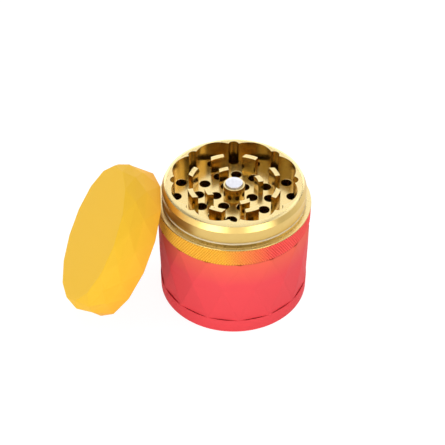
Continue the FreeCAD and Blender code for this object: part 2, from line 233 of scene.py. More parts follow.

# %% [markdown]
# Three coats come out of that gun. The red warms a little towards the grip, where some yellow
# drifted onto it. The grip turns from yellow to red from left to right. The lid is yellow all
# over, and is painted orange towards its open edge as shade on the facets there, so its
# colours follow its own leaning axis.

# %% Coats of lacquer
UPWARDS = Vector((0.0, 0.0, 1.0))
FADE_HEADING = math.radians(20)
FADE_START = -0.60 * BODY_RADIUS
ACROSS_GRIP = Vector((math.cos(FADE_HEADING), math.sin(FADE_HEADING), 0.0))
KNURL_FLOOR = BODY_RADIUS - KNURL_DEPTH
LID_HEIGHT = 14.8 * MM
lid_joint = next(joint for joint in frame["joints"] if joint["name"] == "lid_turn")
lid_axis = Vector(lid_joint["axis"])
lid_edge = lid_axis.dot(Vector(lid_joint["pos_m"]))
red_lacquer = sprayed_lacquer(
    "Red soft-touch lacquer", [(0.0, "#E8444B"), (0.7, "#EB484E"), (1.0, "#EF634C")],
    UPWARDS, 0.0, BODY_TOP)
# Its grooves are darker inside, partly as pooled lacquer and partly as painted shade.
grip_lacquer = sprayed_lacquer(
    "Yellow to red soft-touch lacquer", [(0.0, "#FFC63E"), (0.42, "#FF9A4C"), (1.0, "#FA5C55")],
    ACROSS_GRIP, FADE_START, 0.0, grooves=(KNURL_FLOOR, KNURL_FLOOR + POOL_AND_SHADE_DEPTH))
# The lid's orange towards its open edge is painted shade on the facets there.
lid_lacquer = sprayed_lacquer(
    "Yellow soft-touch lacquer", [(0.0, "#F4AE2C"), (0.5, "#F3BA29"), (1.0, "#EFBC29")],
    lid_axis, lid_edge, lid_edge + LID_HEIGHT)

# %% [markdown]
# Inside, the zinc is plated gold. A plated metal is all reflection: metallic 1, and its colour
# is the tint of what it mirrors. The walls keep the deep tint of the plating, and fine rings
# from the lathe soften them. The faces that look up are cut bright, and the floor of the pocket
# is milled nearly to a mirror, in which the teeth and the post stand twice. Both are given a
# paler tint than the walls, which is partly painted light. The outside of the collar is a
# satin, and its tint, between the two, partly paints in its highlight. One gold all over would
# be simpler, but then walls, floor and rim would all look alike.

# %% Gold plate
TURNING_MARKS = 0.25 * MM
WAVE_WIDTH = 0.314  # one ring of Blender's wave texture at a scale of 1
RING_WAVER = 0.4
RING_DEPTH = 0.01 * MM
RING_STRENGTH = 0.03
GOLD_GRAIN = 3.0 * MM
NICKEL_GRAIN = 0.9 * MM


def plated(name, tints, roughness, grain):
    """Bright plating on turned metal, with faint rings from the lathe round the part's axis."""
    material, tree, shader, place = new_material(name)
    shader.inputs["Metallic"].default_value = 1.0
    blotch = add(tree, "ShaderNodeTexNoise", {"Vector": place, "Scale": 1 / grain, "Detail": 4.0})
    tone = add(tree, "ShaderNodeMix",
               {"Factor": blotch.outputs["Fac"], "A": linear(tints[0]), "B": linear(tints[1])},
               data_type="RGBA")
    tree.links.new(tone.outputs["Result"], shader.inputs["Base Color"])
    rings = add(tree, "ShaderNodeTexWave",
                {"Vector": place, "Scale": WAVE_WIDTH / TURNING_MARKS, "Distortion": RING_WAVER},
                wave_type="RINGS", rings_direction="Z")
    bump = add(tree, "ShaderNodeBump",
               {"Height": rings.outputs["Fac"], "Strength": RING_STRENGTH, "Distance": RING_DEPTH})
    tree.links.new(bump.outputs["Normal"], shader.inputs["Normal"])
    dull = add(tree, "ShaderNodeMapRange",
               {"Value": blotch.outputs["Fac"], "To Min": roughness - UNEVENNESS,
                "To Max": roughness + UNEVENNESS})
    tree.links.new(dull.outputs["Result"], shader.inputs["Roughness"])
    print(name, "roughness about", roughness)
    return material


gold_turned = plated("Turned gold plate", ("#CEA852", "#D6B25E"), 0.24, GOLD_GRAIN)
# The three paler golds below are partly painted light; their roughness is their real finish.
gold_satin_lit = plated("Satin gold plate", ("#DCBA6C", "#E3C47A"), 0.34, GOLD_GRAIN)
gold_bright_lit = plated("Bright-cut gold plate", ("#E8D194", "#EED9A0"), 0.28, GOLD_GRAIN)
gold_milled_lit = plated("Milled gold plate", ("#EBD192", "#F0D99E"), 0.22, GOLD_GRAIN)
nickel_plate = plated("Nickel plate", ("#C8C9D2", "#F2F3FA"), 0.4, NICKEL_GRAIN)

# %% [markdown]
# Two small things are neither lacquer nor gold: the nylon ring under the lid, which is a
# little see-through and waxy, and the woven steel of the sieve. Real wires would take many
# thousands of faces for a piece that hardly shows, so a chequer of two greys stands for them.

# %% Nylon and steel mesh
NYLON_HAZE = 1.5 * MM
NYLON_ROUGHNESS = 0.38
NYLON_IOR = 1.53
NYLON_DEPTH_SHARE = 0.2
NYLON_DEPTH = (0.6 * MM, 0.5 * MM, 0.4 * MM)
nylon, nylon_tree, nylon_shader, nylon_place = new_material("Natural nylon")
haze = add(nylon_tree, "ShaderNodeTexNoise",
           {"Vector": nylon_place, "Scale": 1 / NYLON_HAZE, "Detail": 3.0})
milky = add(nylon_tree, "ShaderNodeMix",
            {"Factor": haze.outputs["Fac"], "A": linear("#D2BE94"), "B": linear("#DDCDA9")},
            data_type="RGBA")
nylon_tree.links.new(milky.outputs["Result"], nylon_shader.inputs["Base Color"])
nylon_shader.inputs["Roughness"].default_value = NYLON_ROUGHNESS
nylon_shader.inputs["IOR"].default_value = NYLON_IOR
nylon_shader.inputs["Subsurface Weight"].default_value = NYLON_DEPTH_SHARE
nylon_shader.inputs["Subsurface Radius"].default_value = NYLON_DEPTH

WEAVE_PITCH = 0.7 * MM
STEEL_ROUGHNESS = 0.35
steel_mesh, mesh_tree, mesh_shader, mesh_place = new_material("Woven stainless steel")
mesh_shader.inputs["Metallic"].default_value = 1.0
mesh_shader.inputs["Roughness"].default_value = STEEL_ROUGHNESS
weave = add(mesh_tree, "ShaderNodeTexChecker",
            {"Vector": mesh_place, "Scale": 1 / WEAVE_PITCH,
             "Color1": linear("#B9B7B2"), "Color2": linear("#8E8C88")})
mesh_tree.links.new(weave.outputs["Color"], mesh_shader.inputs["Base Color"])
print("nylon and steel mesh ready")

# %% [markdown]
# The lid and the storage chamber are cut with flat triangles. Each row is a circle of fifteen
# corners, turned half a step from its neighbour. Bridging two rows gives slanted quads, and
# splitting each along its short diagonal gives exactly the triangles of the real cut. Slicing
# a drum with planes would do it too, but rows put every corner where the solid has it.

# %% Faceted walls
FACET_COUNT = 15
FACET_STEP = 360 / FACET_COUNT


def ring_of(bm, segments, radius, level, turn=0.0):
    """Edges of a circle of corners. Blender starts a circle on +Y, so it is turned back to +X."""
    place = Matrix.Translation((0, 0, level)) @ Matrix.Rotation(math.radians(turn - 90), 4, "Z")
    made = bmesh.ops.create_circle(bm, segments=segments, radius=radius, matrix=place)
    return list({edge for vert in made["verts"] for edge in vert.link_edges})


def faceted_wall(bm, rows):
    """Joins rows of corners, given as (radius, level, turn), and returns the rings of edges."""
    rings = [ring_of(bm, FACET_COUNT, *row) for row in rows]
    for lower, upper in zip(rings, rings[1:]):
        bmesh.ops.bridge_loops(bm, edges=lower + upper)
    bmesh.ops.triangulate(bm, faces=bm.faces[:], quad_method="SHORT_EDGE")
    return rings


print("fifteen facets of", FACET_STEP, "degrees")

# %% [markdown]
# Nearly everything else on this object is turned or milled. A turned wall is a profile spun
# about the axis, and a flat face is filled between the open edges that lie at its level, holes
# and all. Booleans could cut the same forms, but they leave ragged faces, and in a bright
# metal those show.

# %% Turned walls and flat faces
ROUND_STEPS = 120
LEVEL_TOLERANCE = 0.01 * MM


def chain(bm, points):
    """Vertices joined into a line of edges."""
    verts = [bm.verts.new(point) for point in points]
    edges = [bm.edges.new(pair) for pair in zip(verts, verts[1:])]
    return verts + edges


def spun(bm, profile, segments=ROUND_STEPS):
    """Turns a profile of (radius, level) points about the Z axis."""
    line = chain(bm, [(radius, 0, level) for radius, level in profile])
    bmesh.ops.spin(bm, geom=line, cent=(0, 0, 0), axis=(0, 0, 1), angle=2 * math.pi,
                   steps=segments, use_merge=True)


def open_edges(bm, level):
    """Open edges that lie at one level."""
    return [edge for edge in bm.edges if len(edge.link_faces) < 2
            and all(abs(vert.co.z - level) < LEVEL_TOLERANCE for vert in edge.verts)]


def fill_level(bm, level):
    """Closes a flat face with its holes, from the open edges at one level."""
    bmesh.ops.remove_doubles(bm, verts=bm.verts, dist=MERGE_DISTANCE)
    bmesh.ops.triangle_fill(bm, use_beauty=True, edges=open_edges(bm, level))


print("round walls in steps of", 360 / ROUND_STEPS, "degrees")

# %% [markdown]
# Real edges are never quite sharp. A narrow bevel on every edge above some angle softens them,
# and catches the light as they do. Coated pieces are lacquered outside and plated inside, so
# their faces are sorted into those two.

# %% Soft edges and coated faces
EDGE_SOFTNESS = 0.2 * MM
SHARP_FACETED = math.radians(9)
SHARP_SMALL = math.radians(30)
SHARP_TURNED = math.radians(40)
# Places of the two finishes in a coated piece's list of materials.
COATED = 0
PLATED = 1


def coat_only(bm, coated):
    """Coats the faces in a set, and plates the rest."""
    for face in bm.faces:
        face.material_index = COATED if face in coated else PLATED


def soften(bm, width, sharper_than):
    """Rounds every edge that is sharper than an angle."""
    edges = [edge for edge in bm.edges
             if len(edge.link_faces) == 2 and edge.calc_face_angle() > sharper_than]
    bmesh.ops.bevel(bm, geom=edges, offset=width, offset_type="OFFSET", affect="EDGES",
                    segments=2, profile=0.5, material=-1, clamp_overlap=True)


print("edges of the big forms are softened by", EDGE_SOFTNESS / MM, "mm")

# %% [markdown]
# The lid: four rows of corners, a flat top, and a bore inside that slips over the collar.
# A leaning lid could be written point by point, but a wall is far easier about an upright
# axis, so all of it is made upright and then leaned over, by the matrix that its joint gives.

# %% Lid shell
CLOSED_PLAY = 0.3 * MM
LID_MIDDLE_ROW = 6.8 * MM
LID_SHOULDER_ROW = 11.2 * MM
LID_TOP_RADIUS = 29.0 * MM
LID_BORE_RADIUS = 29.6 * MM
LID_CEILING = COLLAR_TOP - SHOULDER + CLOSED_PLAY
LID_TURN = 3.8

lid_slope = math.atan2(-lid_axis.x, lid_axis.z)
LEAN = Matrix.Translation(lid_joint["pos_m"]) @ Matrix.Rotation(-lid_slope, 4, "Y")

lid_bm = bmesh.new()
lid_rows = faceted_wall(lid_bm, [
    (BODY_RADIUS, 0.0, LID_TURN),
    (BODY_RADIUS, LID_MIDDLE_ROW, LID_TURN + FACET_STEP / 2),
    (BODY_RADIUS, LID_SHOULDER_ROW, LID_TURN),
    (LID_TOP_RADIUS, LID_HEIGHT, LID_TURN + FACET_STEP / 2),
])
bmesh.ops.edgeloop_fill(lid_bm, edges=lid_rows[-1])
lid_outside = set(lid_bm.faces)
spun(lid_bm, [(LID_BORE_RADIUS, 0.0), (LID_BORE_RADIUS, LID_CEILING), (0.0, LID_CEILING)])
fill_level(lid_bm, 0.0)
coat_only(lid_bm, lid_outside)
soften(lid_bm, EDGE_SOFTNESS, SHARP_FACETED)
make_piece(lid_bm, "lid_shell", [lid_lacquer, gold_turned], "lid", "lid", LEAN,
           SMOOTH_FACETED)

# %% [markdown]
# A tooth is milled: its long sides follow circles about the axis, one end is square and the
# other slanted like a blade. Two arcs of vertices, spun about the axis and bridged, give its
# plan. Pulling that up and rounding the edges gives the tooth. A bevelled box would be near
# it, but its long sides would be straight.

# %% A tooth
TOOTH_WIDTH = 2.1 * MM
TOOTH_SLANT = 1.1 * MM
TOOTH_STEPS = 6
TOOTH_SOFTNESS = 0.12 * MM
SUNK = 0.4 * MM


def add_tooth(bm, circle, width, length, bottom, top, degrees):
    """One tooth on a circle about the Z axis, with its slanted end ahead."""
    start = math.radians(degrees) - length / 2 / circle
    sides = ((circle - width / 2, TOOTH_SLANT / 2), (circle + width / 2, -TOOTH_SLANT / 2))
    for radius, lead in sides:
        corner = bm.verts.new((radius * math.cos(start), radius * math.sin(start), bottom))
        bmesh.ops.spin(bm, geom=[corner], cent=(0, 0, 0), axis=(0, 0, 1), steps=TOOTH_STEPS,
                       angle=(length + lead) / circle)
    run = [edge for edge in bm.edges if not edge.link_faces]
    plan = bmesh.ops.bridge_loops(bm, edges=run)["faces"]
    risen = bmesh.ops.extrude_face_region(bm, geom=plan)["geom"]
    lifted = [item for item in risen if isinstance(item, bmesh.types.BMVert)]
    bmesh.ops.translate(bm, verts=lifted, vec=(0, 0, top - bottom))


def add_teeth(bm, circle, width, length, bottom, top, count, first):
    """A ring of teeth."""
    for index in range(count):
        add_tooth(bm, circle, width, length, bottom, top, first + index * 360 / count)


print("a tooth is", round(TOOTH_WIDTH / MM, 2), "mm wide")

# %% [markdown]
# The lid's teeth hang from its ceiling, in two rings that run between the rings of the chamber
# when the lid is on. They reach a little into the ceiling, as they are one with it, which
# saves cutting their plan out of it.

# %% Lid teeth
LID_TOOTH_WIDTH = 2.4 * MM
LID_TOOTH_LENGTH = 5.2 * MM
LID_TOOTH_END = 1.5 * MM
LID_TOOTH_RINGS = ((21.05 * MM, 8), (14.625 * MM, 4))
lid_teeth_bm = bmesh.new()
for circle, count in LID_TOOTH_RINGS:
    add_teeth(lid_teeth_bm, circle, LID_TOOTH_WIDTH, LID_TOOTH_LENGTH, LID_TOOTH_END,
              LID_CEILING + SUNK, count, LID_TURN)
soften(lid_teeth_bm, TOOTH_SOFTNESS, SHARP_SMALL)
make_piece(lid_teeth_bm, "lid_teeth", [gold_turned], "lid", "lid", LEAN)

# %% [markdown]
# The magnet boss in the lid, and both magnets, are small turned pieces. Blender's own cylinder
# would leave them with razor edges, so a profile is spun round the axis and its corners are
# rounded.

# %% Magnets and lid boss
MAGNET_RADIUS = 3.5 * MM
MAGNET_HEIGHT = 2.5 * MM
MAGNET_SOFTNESS = 0.2 * MM
MAGNET_PROUD = 0.9 * MM
MAGNET_GAP = 0.05 * MM
POST_TOP = COLLAR_TOP - 2.3 * MM
LID_BOSS_RADIUS = 5.0 * MM
LID_BOSS_SOFTNESS = 0.1 * MM
chamber_magnet_top = POST_TOP + MAGNET_PROUD
lid_magnet_low = chamber_magnet_top - SHOULDER + CLOSED_PLAY


def turned_ring(outer, inner, bottom, top, softness):
    """A turned ring, or a disc if its inner radius is nought, with rounded edges."""
    profile = [(inner, bottom), (outer, bottom), (outer, top), (inner, top)]
    if inner > 0:
        profile.append((inner, bottom))
    bm = bmesh.new()
    spun(bm, profile)
    bmesh.ops.remove_doubles(bm, verts=bm.verts, dist=MERGE_DISTANCE)
    soften(bm, softness, SHARP_SMALL)
    return bm


boss_bm = turned_ring(LID_BOSS_RADIUS, MAGNET_RADIUS + MAGNET_GAP, lid_magnet_low + MAGNET_GAP,
                      LID_CEILING + SUNK, LID_BOSS_SOFTNESS)
make_piece(boss_bm, "lid_boss", [gold_turned], "lid", "lid", LEAN)
lid_magnet_bm = turned_ring(MAGNET_RADIUS, 0.0, lid_magnet_low, lid_magnet_low + MAGNET_HEIGHT,
                            MAGNET_SOFTNESS)
make_piece(lid_magnet_bm, "lid_magnet_disc", [nickel_plate], "lid_core", "lid_magnet",
           LEAN)
chamber_magnet_bm = turned_ring(MAGNET_RADIUS, 0.0, chamber_magnet_top - MAGNET_HEIGHT,
                                chamber_magnet_top, MAGNET_SOFTNESS)
make_piece(chamber_magnet_bm, "chamber_magnet_disc", [nickel_plate], "chamber_core",
           "chamber_magnet")

# %% [markdown]
# The storage chamber is the red faceted section. Outside it is three rows of corners. Inside,
# one profile runs from the socket at the top, down the bore and the sieve's ledge, and out
# round the spigot that screws into the cup. Flat rings close the two ends. One long profile,
# and not a stack of tubes, leaves no seams between bore, ledge and spigot.

# %% Storage chamber
BODY_TURN = 1.4
MIDDLE_ROW = BASE_TOP + 16.4 * MM
STORAGE_BORE = 27.0 * MM
SIEVE_OPENING = 24.8 * MM
SIEVE_LEDGE = BASE_TOP + 1.8 * MM
storage_bm = bmesh.new()
faceted_wall(storage_bm, [
    (BODY_RADIUS, BASE_TOP, BODY_TURN),
    (BODY_RADIUS, MIDDLE_ROW, BODY_TURN + FACET_STEP / 2),
    (BODY_RADIUS, BODY_TOP, BODY_TURN),
])
storage_outside = set(storage_bm.faces)
spun(storage_bm, [
    (SOCKET_RADIUS, BODY_TOP),
    (SOCKET_RADIUS, BODY_TOP - SOCKET_DEPTH),
    (STORAGE_BORE, BODY_TOP - SOCKET_DEPTH),
    (STORAGE_BORE, SIEVE_LEDGE),
    (SIEVE_OPENING, SIEVE_LEDGE),
    (SIEVE_OPENING, BASE_TOP - SPIGOT_LENGTH),
    (SPIGOT_RADIUS, BASE_TOP - SPIGOT_LENGTH),
    (SPIGOT_RADIUS, BASE_TOP),
])
fill_level(storage_bm, BODY_TOP)
fill_level(storage_bm, BASE_TOP)
coat_only(storage_bm, storage_outside)
soften(storage_bm, EDGE_SOFTNESS, SHARP_FACETED)
make_piece(storage_bm, "storage_shell", [red_lacquer, gold_turned], "storage",
           "storage_chamber", smooth_below=SMOOTH_FACETED)

# %% [markdown]
# The base cup is a plain turned piece: one closed profile, coated outside and plated inside.
# A thin lip stands round its top. The flat facets above draw back from the lip, and the
# shallow rebate behind it is in shadow there, which draws the dark crescents of the joint.

# %% Base cup
CUP_FLOOR = 1.6 * MM
CUP_RADIUS = 27.0 * MM
CUP_ROUNDING = 1.5 * MM
FOOT_ROUNDING = 0.3 * MM
FOOT_STEPS = 4
LIP_WIDTH = 0.2 * MM
LIP_SOFTNESS = 0.06 * MM
REBATE_DEPTH = 0.5 * MM
COAT_REACHES_IN = SOCKET_RADIUS + 0.6 * MM
COAT_REACHES_UP = 0.5 * CUP_FLOOR
ARC_STEPS = 8


def arc(centre, radius, start, end, steps=ARC_STEPS):
    """Points of a profile's rounded corner, between two angles in degrees."""
    angles = [math.radians(start + (end - start) * step / steps) for step in range(steps + 1)]
    return [(centre[0] + radius * math.cos(angle), centre[1] + radius * math.sin(angle))
            for angle in angles]


base_bm = bmesh.new()
spun(base_bm, [
    (0.0, 0.0),
    *arc((BODY_RADIUS - FOOT_ROUNDING, FOOT_ROUNDING), FOOT_ROUNDING, -90, 0, FOOT_STEPS),
    (BODY_RADIUS, BASE_TOP),
    (BODY_RADIUS - LIP_WIDTH, BASE_TOP),
    (BODY_RADIUS - LIP_WIDTH, BASE_TOP - REBATE_DEPTH),
    (SOCKET_RADIUS, BASE_TOP - REBATE_DEPTH),
    (SOCKET_RADIUS, BASE_TOP - SOCKET_DEPTH),
    (CUP_RADIUS, BASE_TOP - SOCKET_DEPTH),
    *arc((CUP_RADIUS - CUP_ROUNDING, CUP_FLOOR + CUP_ROUNDING), CUP_ROUNDING, 0, -90),
    (0.0, CUP_FLOOR),
])
bmesh.ops.remove_doubles(base_bm, verts=base_bm.verts, dist=MERGE_DISTANCE)
soften(base_bm, LIP_SOFTNESS, SHARP_TURNED)
cup_outside = set()
for face in base_bm.faces:
    middle = face.calc_center_median()
    if middle.xy.length > COAT_REACHES_IN or middle.z < COAT_REACHES_UP:
        cup_outside.add(face)
coat_only(base_bm, cup_outside)
make_piece(base_bm, "base_cup_shell", [red_lacquer, gold_turned], "base", "base_cup")

# %% [markdown]
# The grinding chamber is one block of metal with a scalloped pocket. Its plan is eight equal
# sectors: an arc of scallop, then a drilled flute. A vertex spun about the scallop's centre
# draws the one, a vertex spun about the flute's centre the other, and spinning the sector
# about the axis repeats it. Cylinders cut out of a block would give the same plan, but this
# way every corner is shared by the wall, the rim and the floor.

# %% Pocket plan
CHAMBER_TURN = math.radians(-8.3)
SECTOR_COUNT = 8
SECTOR = 2 * math.pi / SECTOR_COUNT
SCALLOP_RADIUS = 10.1 * MM
SCALLOP_CENTRE = 16.2 * MM
HOLE_RADIUS = 2.25 * MM
OUTER_CIRCLE = 23.5 * MM


def on_circle(radius, angle):
    """A point on a circle about the Z axis."""
    return Vector((radius * math.cos(angle), radius * math.sin(angle), 0.0))


def circles_meet(first, first_radius, second, second_radius):
    """The point, of the two where circles meet, that is further from the axis."""
    apart = second - first
    along = (first_radius ** 2 - second_radius ** 2 + apart.length_squared) / (2 * apart.length)
    aside = math.sqrt(first_radius ** 2 - along ** 2)
    forward = apart.normalized()
    sideways = Vector((-forward.y, forward.x, 0))
    return max((first + forward * along + sideways * aside * side for side in (-1, 1)),
               key=lambda point: point.length)


def angle_round(centre, start, end):
    """Angle from start to end about a centre, the positive way round."""
    first = math.atan2(start.y - centre.y, start.x - centre.x)
    last = math.atan2(end.y - centre.y, end.x - centre.x)
    return (last - first) % (2 * math.pi)


flute = on_circle(OUTER_CIRCLE, CHAMBER_TURN)
scallop_after = on_circle(SCALLOP_CENTRE, CHAMBER_TURN + SECTOR / 2)
scallop_before = on_circle(SCALLOP_CENTRE, CHAMBER_TURN - SECTOR / 2)
flute_start = circles_meet(scallop_before, SCALLOP_RADIUS, flute, HOLE_RADIUS)
flute_end = circles_meet(scallop_after, SCALLOP_RADIUS, flute, HOLE_RADIUS)
scallop_end = Matrix.Rotation(SECTOR, 3, "Z") @ flute_start
for corner_name, corner in (("start", flute_start), ("end", flute_end)):
    print("flute", corner_name, "at mm", round(corner.x / MM, 2), round(corner.y / MM, 2))

# %% [markdown]
# A wall starts as one arc of that plan. It is pulled down through its levels, and then spun
# about the axis with copies, one for each sector. Scallops end at the floor. Flutes were
# drilled, so they go on through it, and the side of each that faces the axis starts there.

# %% Pocket walls
SCALLOP_STEPS = 24
FLUTE_STEPS = 14
ROUNDING_END = 84  # degrees, just short of level
RIM = COLLAR_TOP - COLLAR_ROUNDING * (1 - math.sin(math.radians(ROUNDING_END)))


def repeated_arc(bm, start, centre, angle, steps, levels):
    """An arc in plan, repeated in each sector and pulled down through levels as a wall."""
    corner = bm.verts.new((start.x, start.y, levels[0]))
    bmesh.ops.spin(bm, geom=[corner], cent=(centre.x, centre.y, levels[0]), axis=(0, 0, 1),
                   angle=angle, steps=steps)
    drawn = [edge for edge in bm.edges if not edge.link_faces]
    for upper, lower in zip(levels, levels[1:]):
        pulled = bmesh.ops.extrude_edge_only(bm, edges=drawn)["geom"]
        moved = [item for item in pulled if isinstance(item, bmesh.types.BMVert)]
        bmesh.ops.translate(bm, verts=moved, vec=(0, 0, lower - upper))
        drawn = [item for item in pulled if isinstance(item, bmesh.types.BMEdge)
                 and all(vert in moved for vert in item.verts)]
    connected = {corner}
    waiting = [corner]
    while waiting:
        vert = waiting.pop()
        for edge in vert.link_edges:
            other = edge.other_vert(vert)
            if other not in connected:
                connected.add(other)
                waiting.append(other)
    wall = [face for face in bm.faces if face.verts[0] in connected]
    edges = list({edge for face in wall for edge in face.edges})
    bmesh.ops.spin(bm, geom=list(connected) + edges + wall, cent=(0, 0, 0), axis=(0, 0, 1),
                   angle=2 * math.pi, steps=SECTOR_COUNT, use_duplicate=True)


chamber_bm = bmesh.new()
scallop_angle = angle_round(scallop_after, flute_end, scallop_end)
repeated_arc(chamber_bm, flute_end, scallop_after, scallop_angle, SCALLOP_STEPS,
             [RIM, CHAMBER_FLOOR])
repeated_arc(chamber_bm, flute_start, flute, angle_round(flute, flute_start, flute_end),
             FLUTE_STEPS, [RIM, CHAMBER_FLOOR, FLOOR_UNDERSIDE])
repeated_arc(chamber_bm, flute_end, flute, angle_round(flute, flute_end, flute_start),
             FLUTE_STEPS, [CHAMBER_FLOOR, FLOOR_UNDERSIDE])
print("pocket walls of", len(chamber_bm.faces), "faces")

# %% [markdown]
# More holes go through the floor in three rings, and ground herbs fall through them. Each is a
# short profile spun about the hole's own axis, with a broken edge at its mouth, which a plain
# cylinder wouldn't have.

# %% Drop holes
HOLE_EDGE = 0.15 * MM
HOLE_EDGE_BEND = 0.3 * HOLE_EDGE
HOLE_STEPS = 28
MIDDLE_CIRCLE = 14.5 * MM
MIDDLE_HOLES = 12
INNER_CIRCLE = 7.4 * MM
INNER_HOLES = 6
INNER_TURN = CHAMBER_TURN + math.radians(-4.5)


def add_hole(bm, radius, angle):
    """The wall of a hole through the floor, softened at its mouth."""
    centre = on_circle(radius, angle)
    profile = [
        (HOLE_RADIUS + HOLE_EDGE, CHAMBER_FLOOR),
        (HOLE_RADIUS + HOLE_EDGE_BEND, CHAMBER_FLOOR - HOLE_EDGE_BEND),
        (HOLE_RADIUS, CHAMBER_FLOOR - HOLE_EDGE),
        (HOLE_RADIUS, FLOOR_UNDERSIDE),
    ]
    line = chain(bm, [(centre.x + reach, centre.y, level) for reach, level in profile])
    bmesh.ops.spin(bm, geom=line, cent=centre, axis=(0, 0, 1), angle=2 * math.pi,
                   steps=HOLE_STEPS, use_merge=True)


hole_rings = [
    (OUTER_CIRCLE, CHAMBER_TURN + SECTOR / 2, SECTOR_COUNT),
    (MIDDLE_CIRCLE, INNER_TURN, MIDDLE_HOLES),
    (INNER_CIRCLE, INNER_TURN, INNER_HOLES),
]
for circle, first, count in hole_rings:
    for index in range(count):
        add_hole(chamber_bm, circle, first + index * 2 * math.pi / count)
print("drop holes", sum(count for _, _, count in hole_rings))

# %% [markdown]
# Outside, one profile draws rim, collar, groove, shoulder, spigot and undercut. The rim is
# round at the top and then a straight chamfer, which carries the long highlight of the photo.
# With all the walls in place, three flat faces close the block: rim, floor and underside.
# Each face then gets its finish: by where it looks, and by where on the block it is. The
# paler golds of the up-facing faces and of the collar are partly painted light.

# %% Grinding chamber block
GROOVE_LOW = SHOULDER + 0.7 * MM
GROOVE_HIGH = SHOULDER + 1.7 * MM
GROOVE_RADIUS = COLLAR_RADIUS - 0.7 * MM
GRIP_CORE = BODY_RADIUS - 1.0 * MM
GRIP_TOP = SHOULDER - 0.35 * MM
SHOULDER_EDGE = BODY_RADIUS - 0.35 * MM
SHOULDER_STEPS = 5
ROUNDING_STEPS = 10
CHAMFER_START = 50  # degrees round the rim's rounding, like ROUNDING_END
CHAMFER_SHARES = (0.04, 0.9, 1.0)  # corners near its ends keep the chamfer flat between them
RIM_INSIDE = COLLAR_RADIUS - 2.0 * MM
BRIGHT_ABOVE = 0.5  # height of a face's normal, 0 on a wall and 1 on a level face
# Places of the gold finishes in a piece's list of materials.
TURNED = 0
BRIGHT = 1
MILLED = 2
SATIN = 3


def cut_bright_and_lit(bm):
    """Gives up-facing faces the bright-cut finish, whose paler tint is partly painted light."""
    bmesh.ops.recalc_face_normals(bm, faces=bm.faces)
    for face in bm.faces:
        face.material_index = BRIGHT if face.normal.z > BRIGHT_ABOVE else TURNED


rim_centre = Vector((COLLAR_RADIUS - COLLAR_ROUNDING, COLLAR_TOP - COLLAR_ROUNDING))
rounding = arc(rim_centre, COLLAR_ROUNDING, ROUNDING_END, CHAMFER_START, ROUNDING_STEPS)
chamfer_foot = Vector((COLLAR_RADIUS, rim_centre.y))
spun(chamber_bm, [
    *rounding,
    *(Vector(rounding[-1]).lerp(chamfer_foot, share) for share in CHAMFER_SHARES),
    (COLLAR_RADIUS, GROOVE_HIGH),
    (GROOVE_RADIUS, GROOVE_HIGH),
    (GROOVE_RADIUS, GROOVE_LOW),
    (COLLAR_RADIUS, GROOVE_LOW),
    (COLLAR_RADIUS, SHOULDER),
    *arc((SHOULDER_EDGE, GRIP_TOP), BODY_RADIUS - SHOULDER_EDGE, 90, 0, SHOULDER_STEPS),
    (GRIP_CORE, GRIP_TOP),
    (GRIP_CORE, BODY_TOP),
    (SPIGOT_RADIUS, BODY_TOP),
    (SPIGOT_RADIUS, BODY_TOP - SPIGOT_LENGTH),
    (UNDERCUT_RADIUS, BODY_TOP - SPIGOT_LENGTH),
    (UNDERCUT_RADIUS, FLOOR_UNDERSIDE),
])
for level in (RIM, CHAMBER_FLOOR, FLOOR_UNDERSIDE):
    fill_level(chamber_bm, level)
cut_bright_and_lit(chamber_bm)
# The milled floor and the satin collar get paler tints, which are partly painted light.
for face in chamber_bm.faces:
    middle = face.calc_center_median()
    outside_collar = middle.xy.length > RIM_INSIDE and middle.z > SHOULDER
    if face.material_index == BRIGHT and abs(middle.z - CHAMBER_FLOOR) < HOLE_EDGE:
        face.material_index = MILLED
    elif face.material_index == TURNED and outside_collar:
        face.material_index = SATIN
make_piece(chamber_bm, "chamber_block", [gold_turned, gold_bright_lit, gold_milled_lit, gold_satin_lit],
           "chamber", "grinding_chamber", smooth_below=SMOOTH_MILLED)

# %% [markdown]
# On the floor stand the teeth, a full ring of eight and an inner ring of four. They are sunk a
# little into the floor, as they are one with it on the real block. Joining the meshes would
# break the floor up round every tooth, and nobody would see it.

# %% Chamber teeth
OUTER_TOOTH_CIRCLE = 18.1 * MM
OUTER_TOOTH_LENGTH = 5.8 * MM
OUTER_TOOTH_TOP = COLLAR_TOP - 1.3 * MM
INNER_TOOTH_CIRCLE = 11.15 * MM
INNER_TOOTH_LENGTH = 4.2 * MM
INNER_TOOTH_TOP = COLLAR_TOP - 2.8 * MM
INNER_TEETH = 4
FIRST_TOOTH = math.degrees(CHAMBER_TURN + SECTOR / 2)
root = CHAMBER_FLOOR - SUNK
teeth_bm = bmesh.new()
add_teeth(teeth_bm, OUTER_TOOTH_CIRCLE, TOOTH_WIDTH, OUTER_TOOTH_LENGTH, root, OUTER_TOOTH_TOP,
          SECTOR_COUNT, FIRST_TOOTH)
add_teeth(teeth_bm, INNER_TOOTH_CIRCLE, TOOTH_WIDTH, INNER_TOOTH_LENGTH, root, INNER_TOOTH_TOP,
          INNER_TEETH, FIRST_TOOTH)
soften(teeth_bm, TOOTH_SOFTNESS, SHARP_SMALL)
cut_bright_and_lit(teeth_bm)
make_piece(teeth_bm, "chamber_teeth", [gold_turned, gold_bright_lit], "chamber",
           "grinding_chamber")

# %% [markdown]
# The post in the middle carries the magnet in a shallow seat. It is one more spun profile, and
# the rim round the magnet comes with it.

